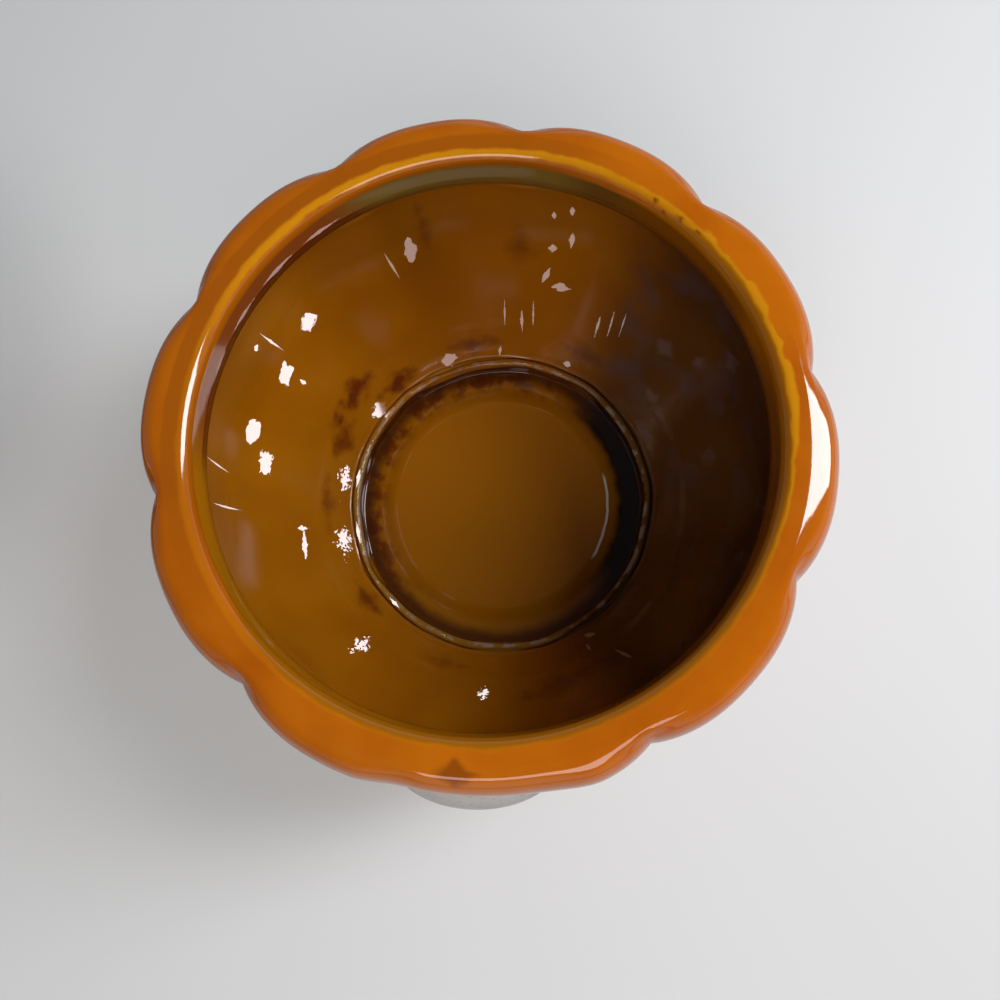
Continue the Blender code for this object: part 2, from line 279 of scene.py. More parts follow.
def arc(middle, radii, start, end, count, fullness=2):
    """Points along an ellipse's arc, as (radius, height), with the angles in degrees. Past a fullness of 2 it
    grows squarer."""

    def swing(value):
        return copysign(abs(value) ** (2 / fullness), value)

    turns = [radians(start + (end - start) * i / (count - 1)) for i in range(count)]
    return [(middle[0] + radii[0] * swing(cos(t)), middle[1] + radii[1] * swing(sin(t))) for t in turns]


def jar_outside():
    """From the middle of the foot up over the lobes to the flat lip, with the groove at each point."""
    under = (BELLY_RADIUS - UNDERSIDE_RADIUS, BELLY_HEIGHT - FOOT_HEIGHT)
    over = (BELLY_RADIUS - LIP_RADIUS, LIP_HEIGHT - BELLY_HEIGHT)
    outline = [(0, 0), (FOOT_RADIUS - 4 * MM, 0)]
    outline += arc((FOOT_RADIUS - FOOT_EDGE, FOOT_EDGE), (FOOT_EDGE, FOOT_EDGE), -90, 0, 6)
    outline += [(FOOT_RADIUS, FOOT_HEIGHT)]
    outline += arc((UNDERSIDE_RADIUS, BELLY_HEIGHT), under, -80, 0, 24)
    shoulder = arc((LIP_RADIUS, BELLY_HEIGHT), over, 0, 90, 44, SHOULDER_FULLNESS)[1:]
    outline += [(r, z - SHOULDER_SLOPE * (r - LIP_RADIUS)) for r, z in shoulder]
    outline += [(LIP_RADIUS - in_ * MM, LIP_HEIGHT) for in_ in (0.3, 1.3, 1.7, 2.4)]

    def groove(radius, height):
        above_foot = smooth(height, FOOT_HEIGHT, 26 * MM)
        up_shoulder = smooth(height, BELLY_HEIGHT, 93 * MM)
        over_top = smooth(radius, LIP_RADIUS, 78.5 * MM) if height > BELLY_HEIGHT else 1
        deep = BELLY_GROOVE + (SHOULDER_GROOVE - BELLY_GROOVE) * up_shoulder
        notch = SHOULDER_NOTCH * up_shoulder * smooth(radius, LIP_RADIUS + 0.8 * MM, LIP_RADIUS + 4.5 * MM)
        return deep * above_foot * over_top, notch

    return [(*point, *groove(*point), 0) for point in outline]


def jar_lip():
    """The rounded crest inside the flat lip where the lid rests."""
    round_ = CREST_RADIUS - COLLAR_RADIUS
    crest = arc((CREST_RADIUS, LIP_HEIGHT - round_), (round_, round_), 90, 180, 12)
    return [(*point, 0, 0, 0) for point in crest]


def bowl(height):
    """The radius of the jar's inner wall between its lobes at a height below its widest."""
    deep = min(max((INNER_BELLY_HEIGHT - height) / (INNER_BELLY_HEIGHT - WALL_FOOT_HEIGHT), 0), 1)
    return INNER_BELLY_RADIUS - (INNER_BELLY_RADIUS - WALL_FOOT_RADIUS) * deep * deep


def jar_inside():
    """From the bottom of the collar down the wall, over the ridge and the moat to the middle of the floor."""
    collar_foot = LIP_HEIGHT - COLLAR_DEPTH
    shoulder = (INNER_BELLY_RADIUS - NECK_RADIUS, collar_foot - 0.5 * MM - INNER_BELLY_HEIGHT)
    bend = (RIDGE_RADIUS - RIDGE_BEAD - FLOOR_BEND, MOAT_HEIGHT + FLOOR_BEND)
    outline = [(COLLAR_RADIUS, collar_foot + 3 * MM), (COLLAR_RADIUS, collar_foot)]
    outline += arc((NECK_RADIUS, INNER_BELLY_HEIGHT), shoulder, 75, 0, 24, fullness=3)
    heights = [INNER_BELLY_HEIGHT + (WALL_FOOT_HEIGHT - INNER_BELLY_HEIGHT) * i / 40 for i in range(1, 41)]
    outline += [(bowl(height), height) for height in heights]
    outline += arc((RIDGE_RADIUS, RIDGE_HEIGHT - RIDGE_BEAD), (RIDGE_BEAD, RIDGE_BEAD), 35, 180, 14)
    outline += arc(bend, (FLOOR_BEND, FLOOR_BEND), -5, -90, 8)
    for i in range(11):
        climb = DISC_RISE * smooth(i, 0, 10)
        outline.append((MOAT_RADIUS + (DISC_RADIUS - MOAT_RADIUS) * i / 10, MOAT_HEIGHT + climb))
    outline += [(DISC_RADIUS * share, MOAT_HEIGHT + DISC_RISE) for share in (0.85, 0.7, 0.5, 0.3, 0.15, 0)]

    def depth(height):
        above_ridge = smooth(height, RIDGE_HEIGHT, 32 * MM)
        below_collar = 1 - smooth(height, 80 * MM, collar_foot - 1 * MM)
        return INNER_GROOVE * above_ridge * below_collar

    return [(*point, depth(point[1]), 0, 1) for point in outline]


def turned(outline, steps, crest=0):
    """A closed bmesh turned about Z from points of radius, height and groove.

    A groove is how far the valleys press the point in and down, and how soft their creases are, from 0 to 1.
    The mesh keeps it, and in the attribute rim how far along the outline the point lies from the outline's
    crest point, in millimetres and below 0 on the outer side.
    """
    bm = bmesh.new()
    groove = bm.verts.layers.float_vector.new("groove")
    rim = bm.verts.layers.float.new("rim")
    bm.verts.layers.float.new("valley")
    lengths = [0]
    for a, b in zip(outline, outline[1:]):
        lengths.append(lengths[-1] + hypot(b[0] - a[0], b[1] - a[1]))
    points = []
    for (radius, height, *pressed), length in zip(outline, lengths):
        point = bm.verts.new((radius * cos(FIRST_GROOVE), radius * sin(FIRST_GROOVE), height))
        point[groove] = pressed
        point[rim] = (length - lengths[crest]) / MM
        points.append(point)
    edges = [bm.edges.new(pair) for pair in zip(points, points[1:])]
    bmesh.ops.spin(
        bm, geom=points + edges, cent=(0, 0, 0), axis=(0, 0, 1), angle=2 * pi, steps=steps, use_merge=True
    )
    bmesh.ops.remove_doubles(bm, verts=bm.verts, dist=1e-7)
    return bm


def front_fill(turn, height):
    """How far the groove behind the boss is filled with clay, from 0 to 1."""
    from_front = abs((turn + pi / 2 + pi) % (2 * pi) - pi)
    return (1 - smooth(from_front, radians(8), radians(20))) * smooth(height, 20 * MM, 46 * MM)


def across_lobe(turn):
    """How far a turn about Z is across its lobe, from -1 in one valley to 1 in the next."""
    return 2 * (((turn - FIRST_GROOVE) * LOBES / (2 * pi)) % 1) - 1


def press_grooves(bm, smooth_front=False):
    """Presses the valleys between the lobes into a turned mesh, and keeps each point's share in valley."""
    groove = bm.verts.layers.float_vector["groove"]
    valley = bm.verts.layers.float["valley"]
    for point in bm.verts:
        inward, down, softness = point[groove]
        turn = atan2(point.co.y, point.co.x)
        outward = Vector((cos(turn), sin(turn), 0))
        across = across_lobe(turn)
        crease = abs(across) ** GROOVE_SHARPNESS
        wave = (1 - cos(pi * across)) / 2
        share = crease + (wave - crease) * softness
        if smooth_front:
            share *= 1 - front_fill(turn, point.co.z)
        point.co -= (outward * inward + Vector((0, 0, down))) * share
        point[valley] = share


def roughen(bm):
    """The unevenness of hand-finished clay: a ridge that isn't quite round, a lip that rolls over on the
    right, and a shoulder that sinks a little above the boss."""
    for point in bm.verts:
        radius = hypot(point.co.x, point.co.y)
        height = point.co.z
        if radius < 20 * MM:
            continue
        turn = atan2(point.co.y, point.co.x)
        outward = Vector((cos(turn), sin(turn), 0))
        at_ridge = smooth(radius, 40 * MM, 45 * MM) * smooth(radius, 53 * MM, 49 * MM)
        at_ridge *= smooth(height, 16 * MM, 12 * MM) * smooth(height, 4.7 * MM, 6.5 * MM)
        wobble = 0.5 * sin(2 * turn + 0.6) + 0.4 * sin(5 * turn + 2)
        wobble += 0.35 * sin(9 * turn) + 0.3 * sin(14 * turn + 1)
        point.co += outward * (RIDGE_WANDER * wobble * at_ridge)
        point.co.z += (0.3 * MM * sin(3 * turn + 1) + 0.25 * MM * sin(19 * turn) * sin(4 * turn)) * at_ridge
        if height > BELLY_HEIGHT and radius > LIP_ROLLS_FROM:
            on_right = smooth(cos(turn - LIP_ROLLS_AT), cos(radians(25)), cos(radians(15)))
            on_front = smooth(cos(turn + pi / 2), cos(radians(20)), cos(radians(8)))
            point.co -= outward * FRONT_SLACK * on_front * smooth(radius, 72 * MM, 76 * MM)
            point.co.z -= LIP_ROLL * on_right * min(radius - LIP_ROLLS_FROM, LIP_RADIUS - LIP_ROLLS_FROM)


def finished(name, bm, material, body, slot, *nodes):
    """The piece made from a bmesh, which rides on its body and stands for its nodes of the frame."""
    bmesh.ops.recalc_face_normals(bm, faces=bm.faces)
    mesh = bpy.data.meshes.new(name)
    bm.to_mesh(mesh)
    bm.free()
    mesh.materials.append(material)
    mesh.shade_smooth()
    mesh.set_sharp_from_angle(angle=radians(60))
    piece = bpy.data.objects.new(name, mesh)
    bpy.context.scene.collection.objects.link(piece)
    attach(piece, body)
    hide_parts(*nodes)
    return piece


# The glaze's colours, from where it is thin to where it is deepest, and the colours painted on it as shade,
# reflections and highlights
ORANGE = (0.455, 0.124, 0.002, 1)
DEEP_ORANGE = (0.365, 0.085, 0.001, 1)
LIP_SHADE_BROWN = (0.31, 0.083, 0.002, 1)
YELLOW = (0.50, 0.205, 0.003, 1)
AMBER = (0.335, 0.118, 0.001, 1)
CARAMEL = (0.26, 0.080, 0.001, 1)
FLOOR_AMBER = (0.37, 0.140, 0.002, 1)
POOL_AND_SHADE = (0.055, 0.012, 0.002, 1)
RED_BROWN = (0.12, 0.022, 0.002, 1)
OLIVE = (0.27, 0.150, 0.012, 1)
MAROON = (0.095, 0.012, 0.004, 1)
COLLAR_GREEN = (0.17, 0.115, 0.022, 1)
COLLAR_YELLOW = (0.38, 0.145, 0.002, 1)
COLLAR_BROWN = (0.20, 0.048, 0.008, 1)
SHADE_BLACK = (0.015, 0.009, 0.008, 1)
REFLECTION_GREY = (0.072, 0.046, 0.047, 1)
PALE_REFLECTION = (0.125, 0.088, 0.090, 1)
GLINT_GREY = (0.38, 0.34, 0.32, 1)
GLINT_WHITE = (0.85, 0.83, 0.80, 1)
BARE_CLAY = (0.60, 0.50, 0.38, 1)
GLOSS = 0.06

# Facets of glaze that stand out from the inner wall, the ridge and the collar and throw a softbox back:
# degrees about Z and height in mm of each, half its width and height in mm, degrees of roll, how scratched it
# is, and the place whose light it throws back: the right softbox's middle, its top end, or the front softbox.
MIDDLE, TOP, FRONT = RIGHT_BOX["place"], (0.385, 0.158, 0.79), FRONT_BOX["place"]
FACETS = [
    (110.4, 51.3, 2.8, 8.5, 4, 0.5, FRONT), (115.8, 49.8, 0.5, 11, -6, 0.6, FRONT),
    (139.9, 47.2, 3.6, 6.4, 20, 1.0, MIDDLE), (153.2, 46.1, 3.8, 5.6, 40, 0.6, MIDDLE),
    (151.9, 38.9, 0.9, 2.2, 0, 1.0, MIDDLE), (168.8, 45.6, 4.4, 6.4, 15, 0.6, MIDDLE),
    (175.4, 37.8, 4.8, 6.2, 35, 1.2, MIDDLE), (196, 28.2, 6.6, 1.5, -2, 1.2, MIDDLE),
    (191.3, 28.8, 1.0, 4.4, 0, 1.2, MIDDLE), (229.6, 29.8, 2.8, 12, 0, 3.0, MIDDLE),
    (195.7, 14.3, 6.0, 5.0, 10, 3.0, MIDDLE), (172.2, 13.4, 5.5, 4.5, 0, 3.0, MIDDLE),
    (143, 12.9, 4.4, 3.6, 0, 1.6, MIDDLE), (109.9, 12.8, 4.0, 3.2, 0, 1.2, FRONT),
    (179.7, 62.8, 0.4, 9.0, 4, 0.8, MIDDLE), (189, 62.5, 0.4, 13, -4, 0.8, MIDDLE),
    (149.7, 59.7, 0.5, 10.5, -6, 0.8, MIDDLE), (153.4, 66.1, 1.2, 2.0, 0, 1.0, MIDDLE),
    (77.1, 38.3, 1.2, 6.0, 20, 0.8, FRONT), (72.9, 34.2, 4.4, 2.2, 8, 1.2, FRONT),
    (76.3, 48.6, 1.8, 2.4, 0, 0.8, FRONT), (72.1, 52.4, 1.2, 5.0, 0, 1.0, FRONT),
    (76.4, 64.5, 0.9, 2.6, 0, 1.0, FRONT), (72.6, 67, 0.9, 3.4, 0, 1.0, FRONT),
    (88.4, 24.5, 0.4, 16.0, 1, 1.0, FRONT), (82.8, 22.5, 0.7, 10.0, -3, 1.4, FRONT),
    (79.4, 25.0, 0.4, 17.0, -4, 1.2, FRONT), (59.6, 26.5, 0.6, 9.0, -8, 1.4, FRONT),
    (56.2, 30.0, 0.4, 15.0, -10, 1.2, FRONT), (53.0, 33.0, 0.3, 12.0, -10, 1.4, FRONT),
    (141, 11.4, 4.2, 1.6, 0, 0.4, MIDDLE), (171, 11.4, 4.6, 1.6, 0, 0.4, MIDDLE),
    (193, 11.4, 4.6, 1.6, 0, 0.4, MIDDLE), (225, 11.4, 3.0, 1.6, 0, 0.6, MIDDLE),
    (90.4, 12.9, 0.6, 2.6, 10, 1.0, FRONT), (64, 12.6, 2.0, 1.4, 0, 1.6, FRONT),
    (266.8, 27.6, 1.7, 5.5, 0, 3.2, TOP), (128, 91.3, 7.0, 0.9, 0, 0.8, FRONT),
    (140, 91.1, 7.0, 1.0, 0, 0.8, FRONT), (152, 90.8, 7.0, 0.8, 0, 0.8, FRONT),
    (164, 90.6, 6.0, 0.6, 0, 0.8, FRONT),
]

# Red-brown stains in the wall's glaze: degrees, height in mm, half the width and height in mm, and strength
STAINS = [
    (106, 56, 4, 22, 0.6), (84, 48, 7, 16, 0.6), (146, 21, 16, 9, 1.2), (131, 14.5, 11, 5, 1.2),
    (160, 17, 10, 6, 0.9), (219, 15, 10, 6, 0.9), (252, 17, 9, 5, 0.6), (183, 18, 12, 5, 0.6),
    (290, 26, 22, 14, 0.6), (100, 15, 14, 5, 0.8), (60, 17, 10, 6, 0.7),
]

# Pale patches painted as reflections on the dark side of the wall, in the same measures but without a
# strength, and their roll
REFLECTION_PATCHES = [
    (39.6, 36, 5, 9), (31.3, 40, 4, 8), (32.8, 21, 5, 5), (25, 52, 6, 8), (8, 34, 6, 9), (-8, 55, 4, 8),
    (-19, 50, 5, 14),
]
REFLECTION_ROLL = 0.3

# Thin highlights painted pale low on the right of the wall, the last number their degrees of roll
PAINTED_GLINTS = [(303.3, 14.0, 2.6, 1.0, 30), (300.6, 18.0, 0.7, 4.0, 0), (307.6, 27.5, 0.9, 13, -17)]

# The middle of the pale arc painted on the floor as a highlight, and of the dark reflection painted on the
# lip above the boss
FLOOR_GLINT_SPOT = (34.6 * MM, -4.9 * MM, 6 * MM)
REFLECTION_SPOT = (-4.5 * MM, -72 * MM, LIP_HEIGHT)

glaze, shader, place = new_material("jar glaze", GLOSS)
x, y, z = [place.along(axis) for axis in "XYZ"]
radius = place.maths("SQRT", x * x + y * y) * (1 / MM)
height = z * (1 / MM)
rim = place.kept("rim")
valley = place.kept("valley")
wander = place.cloud(5 * MM) - 0.5
blots = place.cloud(38 * MM, 4).rises(0.38, 0.66)
mottle = place.cloud(5 * MM, 5)


def facing(angle):
    """1 on the side of the jar at this angle from +X in degrees, and -1 on the other side."""
    return (x * cos(radians(angle)) + y * sin(radians(angle))) * (1 / MM) / radius


def on_wall(angle, level):
    """The place on the ridge, the inner wall or the collar at this angle in degrees and height in mm."""
    turn, height = radians(angle), level * MM
    if height < RIDGE_HEIGHT:
        reach = RIDGE_RADIUS
    elif height > LIP_HEIGHT - COLLAR_DEPTH:
        reach = COLLAR_RADIUS
    else:
        groove = INNER_GROOVE * smooth(height, RIDGE_HEIGHT, 32 * MM)
        reach = bowl(height) - groove * (1 - cos(pi * across_lobe(turn))) / 2
    return Vector((reach * cos(turn), reach * sin(turn), height))


def patch(angle, level, through, half_width, half_height, roll=0.0):
    """1 at a place on the wall, 0 on a diamond round it whose half sizes are in mm, and less beyond."""
    reach = (through * MM, half_width * MM, half_height * MM)
    return place.near(on_wall(angle, level), reach, radians(angle), roll)


# Outside, orange over the lobes and deeper in the valleys, with painted shade darkening the lobes on the
# right, then the lip, browned with painted shade at the far left, and its crest, where the glaze runs thin
# and yellow
far_left = facing(135).rises(-0.15, 0.35)
edge = rim + wander * 1.6
streaks = place.cloud(14 * MM, 3, (1, 1, 0.3)).rises(0.35, 0.7)
# The facing(-35) term is painted shade: it darkens the lobes on the right, where the softbox strikes them
deep = valley * 0.5 + blots * 0.3 + streaks * 0.4 + facing(-35).rises(0.5, 0.9) * 0.25
colour = deep.tints(ORANGE, DEEP_ORANGE)
# Painted shade: the lip is browned at the far left, away from the right softbox
lip_shade = (rim + wander * 0.8).rises(-3.7, -2.7) * facing(135).rises(0.1, 0.7)
colour = (lip_shade * 0.8).tints(colour, LIP_SHADE_BROWN)
yellow_runs = facing(22).rises(0.86, 0.96) * place.cloud(8 * MM, 3).rises(0.42, 0.58)
thin = 0.2 + facing(65).rises(-0.35, 0.35) * 0.8
crest = (edge + yellow_runs * 1.2).rises(-0.1, 0.8) * edge.rises(2.8, 1.6) * thin
colour = crest.tints(colour, YELLOW)
rough_spots = facing(49).rises(0.978, 0.99) * rim.band(1.0, 4.2, 0.4)
colour = (rough_spots * place.cloud(2.2 * MM, 2).rises(0.48, 0.68) * 0.8).tints(colour, MAROON)

# Inside, amber, caramel in clouds and stained red-brown in places, with painted shade over the right half
# and dim reflections painted on that side
amber = (blots * 0.6).tints(AMBER, CARAMEL)
on_floor = height.rises(10.5, 8.5) * radius.rises(46.8, 46)
amber = on_floor.tints(amber, FLOOR_AMBER)
for angle, level, half_width, half_height, strength in STAINS:
    stain = patch(angle, level, 9, half_width, half_height)
    stain = (stain + mottle * 2.2).rises(0.9, 2.2) * stain.rises(-0.3, 0.2)
    amber = (stain * strength).tints(amber, RED_BROWN)
# Painted shade: the right half of the inner wall, below the collar, is darkened nearly to black
shade = facing(-2).rises(0.22, 0.75) * (1 - on_floor) * rim.rises(11.5, 13)
amber = (shade * 0.8).tints(amber, SHADE_BLACK)
# Painted reflections: grey blots on the shaded side, where the glaze would mirror the dim room
reflection_blots = shade * place.cloud(12 * MM, 2).rises(0.46, 0.66) * height.rises(12, 20)
amber = (reflection_blots * 0.75).tints(amber, REFLECTION_GREY)
# Painted reflections: pale patches on the shaded side of the wall
for angle, level, half_width, half_height in REFLECTION_PATCHES:
    reflection_patch = patch(angle, level, 6, half_width, half_height, REFLECTION_ROLL)
    amber = ((reflection_patch + mottle * 1.6).rises(0.9, 1.6) * reflection_patch.rises(0, 0.2) * 0.6).tints(amber, PALE_REFLECTION)
moat = on_floor * (radius + wander * 3).rises(35.5, 42.5)
amber = (moat * (0.3 + mottle.rises(0.42, 0.6) * 0.6) * facing(140).rises(-0.4, 0.6)).tints(amber, RED_BROWN)
# Pooled glaze and painted shade: a dark ring just inside the ridge
amber = (on_floor * (radius + wander * 1.5).rises(40.0, 44.5) * 0.85).tints(amber, POOL_AND_SHADE)
# Painted shadow: the moat on the right, darkened nearly to black where the ridge and wall shade it
shaded_moat = on_floor * (radius + wander * 2).rises(36.5, 40) * facing(6).rises(0.5, 0.85)
amber = shaded_moat.tints(amber, SHADE_BLACK)
ridge = radius.band(45.6, 48.4, 0.5) * height.band(10.0, 14, 0.8)
amber = (ridge * (0.25 + facing(235).rises(-0.3, 0.6) * 0.5)).tints(amber, OLIVE)
# Painted highlight: pale speckles along the ridge, strongest on the right
ridge_glint = radius.band(45.9, 47.2, 0.3) * height.rises(9.6, 10.4) * place.cloud(4 * MM, 6).rises(0.46, 0.60)
amber = (ridge_glint * (0.25 + facing(-35).rises(0, 0.6) * 0.4)).tints(amber, GLINT_GREY)
# Painted highlight: a thin pale arc on the floor, on the right
floor_glint = place.near(FLOOR_GLINT_SPOT, (1, 15 * MM, 1), radians(-8))
floor_glint = floor_glint.rises(0, 0.2) * (radius + wander * 0.6).band(34.6, 35.4, 0.15) * facing(-8).rises(0.6, 0.7)
amber = floor_glint.tints(amber, GLINT_WHITE)

# The collar, greenish on the far side and yellow on the left, with pooled glaze and painted shade in the
# corner under it, and painted shade over it on the far right
collar = rim.band(4.8, 12.6, 0.6)
amber = (collar * facing(155).rises(0.45, 0.7)).tints(amber, COLLAR_BROWN)
amber = (collar * facing(90).rises(0.80, 0.93)).tints(amber, COLLAR_GREEN)
amber = (collar * facing(225).rises(0.60, 0.85)).tints(amber, COLLAR_YELLOW)
# Pooled glaze and painted shade: a dark line in the corner under the collar
corner_pool_and_shade = (rim + wander * 0.8).band(9.9, 13.5, 0.3) * facing(151).rises(0.78, 0.88)
amber = corner_pool_and_shade.tints(amber, MAROON)
# Painted shade: the collar is darkened on the far right
amber = (collar * facing(48).rises(0.88, 0.96) * 0.6).tints(amber, POOL_AND_SHADE)
corners = place.cloud(3.5 * MM, 1) - 0.5
# Painted highlights: thin pale lines on the wall
for angle, level, half_width, half_height, roll in PAINTED_GLINTS:
    glint_streak = patch(angle, level, 4, half_width, half_height, radians(roll))
    amber = (glint_streak + corners * 0.9).rises(0.0, 0.3).tints(amber, GLINT_GREY)
colour = (edge - far_left * 3.6).rises(0.7, 1.5).tints(colour, amber)
# Painted reflection: a dark brown mark on the lip above the boss
lip_reflection = place.near(REFLECTION_SPOT, (4.5 * MM, 6 * MM, 9 * MM), radians(-90))
colour = ((lip_reflection + wander).rises(0, 0.5) * 0.6).tints(colour, RED_BROWN)

# The foot, wiped bare of glaze before the firing
bare = (height + wander * 1.2).rises(2.8, 2.2)
joined(bare.tints(colour, BARE_CLAY), shader, "Base Color")

# The wall's own glaze is a little dulled by use, and the facets that stand out of it have kept their shine
low_wall = radius.band(49.6, 57, 1) * rim.rises(20, 21)
relief = place.cloud(1.5 * MM) * 0.006 + place.cloud(9 * MM, 1) * 0.02
relief = relief + (place.cloud(2.2 * MM, 2) * 0.1 + place.cloud(7 * MM, 1) * 0.25) * low_wall
relief = relief + (place.cloud(1.6 * MM, 3) * 0.35 + place.cloud(8 * MM, 1) * 1.2) * ridge
facets = (relief + bare * mottle * 0.15).bump()
scratches = place.cloud(0.9 * MM, 2)
shine = bare * 0
for angle, level, half_width, half_height, roll, scratched, lamp in FACETS:
    spot = on_wall(angle, level)
    to_camera = (Vector(CAMERA_PLACE) - spot).normalized()
    to_lamp = (Vector(lamp) - spot).normalized()
    # Past the wall's foot a facet would reach into the ridge, so low ones are shallow
    through = min((level - 10.3) * 3.5, 5) if spot.z > RIDGE_HEIGHT else 0.8
    facet = patch(angle, level, through, half_width, half_height, radians(roll))
    ragged = min(half_width, half_height) / 3.2
    facet = (facet + corners * ragged + 0.45 * scratched - scratches * scratched).rises(0.1, 0.16)
    facets = facet.leans(facets, (to_camera + to_lamp).normalized())
    shine = shine.maths("MAXIMUM", shine, facet * min(1, 0.35 + min(half_width, half_height) / 2.5))
joined(facets, shader, "Normal")
upper_left = height.rises(54, 68) * facing(185).rises(0.5, 0.85)
dulled = rim.rises(12, 13) * (0.17 + upper_left * 0.22) * (1 - on_floor)
joined(GLOSS + bare * 0.7 + (1 - shine) * dulled, shader, "Roughness")

jar_profile = jar_outside() + jar_lip() + jar_inside()
jar = turned(jar_profile, JAR_STEPS, crest=len(jar_outside()))
press_grooves(jar, smooth_front=True)
roughen(jar)
finished("jar", jar, glaze, "jar", "jar_glaze", "jar_body")

# The boss is a flat oval cushion of clay, luted to the front of the belly before the jar was glazed, and
# brushed with a grey glaze, with painted shade darkening its lower edge. Its flat back is bedded in the wall.
BOSS_WIDTH = 42 * MM
BOSS_TALL = 32 * MM
BOSS_STANDS_OUT = 5.2 * MM
BOSS_SUNK = 7 * MM
BOSS_ACROSS = -2.6 * MM
BOSS_HEIGHT = 62 * MM
BOSS_BACK = 75.8 * MM
PALE_GREY = (0.50, 0.51, 0.49, 1)
SHADED_GREY = (0.10, 0.11, 0.105, 1)


def cut_off(bm, place, normal):
    """Cuts off what lies past a plane, on the side of its normal, and closes the cut with one face."""
    everything = [*bm.verts, *bm.edges, *bm.faces]
    cut = bmesh.ops.bisect_plane(bm, geom=everything, plane_co=place, plane_no=normal, clear_outer=True)
    edges = [edge for edge in cut["geom_cut"] if isinstance(edge, bmesh.types.BMEdge)]
    bmesh.ops.contextual_create(bm, geom=edges)


cushion = bmesh.new()
bmesh.ops.create_uvsphere(cushion, u_segments=96, v_segments=64, radius=1)
half = Vector((BOSS_WIDTH / 2, BOSS_STANDS_OUT + BOSS_SUNK, BOSS_TALL / 2))
bmesh.ops.scale(cushion, verts=cushion.verts, vec=half)
bmesh.ops.translate(cushion, verts=cushion.verts, vec=(BOSS_ACROSS, BOSS_SUNK - BELLY_RADIUS, BOSS_HEIGHT))
cut_off(cushion, place=(0, -BOSS_BACK, 0), normal=(0, 1, 0))

grey, shader, place = new_material("boss glaze", 0.12)
level = place.along("Z") * (1 / MM)
# Painted shade: the grey darkens towards the boss's lower edge
boss_shade = (level + place.cloud(8 * MM, 3) * 8).rises(BOSS_HEIGHT / MM + 17, BOSS_HEIGHT / MM + 3)
speckle = place.cloud(1.2 * MM, 2).rises(0.62, 0.7) * 0.35
joined(speckle.tints(boss_shade.tints(PALE_GREY, SHADED_GREY), POOL_AND_SHADE), shader, "Base Color")
joined((place.cloud(1.5 * MM) * 0.02 + place.cloud(7 * MM, 1) * 0.12).bump(), shader, "Normal")
finished("boss", cushion, grey, "jar", "boss_glaze", "front_boss")

# The lid is hollow stoneware, cast in one piece: a lobed dome, a flange that rests on the jar's lip, and a
# plug that enters the collar. It lies upside down on its stem, swung off the jar about an axis beside it.
HINGE = Vector((-112 * MM, 0, 94.2 * MM))
LID_SWING = radians(188)
SEAT_GAP = 0.3 * MM
LID_STEPS = 240
LID_RADIUS = 75.5 * MM
LID_TOP = 37.2 * MM
LID_SHOULDER = 24 * MM
LID_EDGE = 3 * MM
LID_WALL = 5 * MM
LID_GROOVE = 3.8 * MM
LID_EDGE_SHALLOWER = 0.65
LID_INNER_GROOVE = 2 * MM
PAD_RADIUS = 15 * MM
PAD_HEIGHT = 35 * MM
PLUG_RADIUS = 61.6 * MM
PLUG_DEPTH = 10 * MM
PLUG_WALL = 4.6 * MM
PLUG_EDGE = 1.5 * MM
PLUG_FILLET = 0.25 * MM

swung_off = Matrix.Translation(HINGE) @ Matrix.Rotation(-LID_SWING, 4, "Y") @ Matrix.Translation(-HINGE)
seat = Vector((0, 0, LIP_HEIGHT + SEAT_GAP))


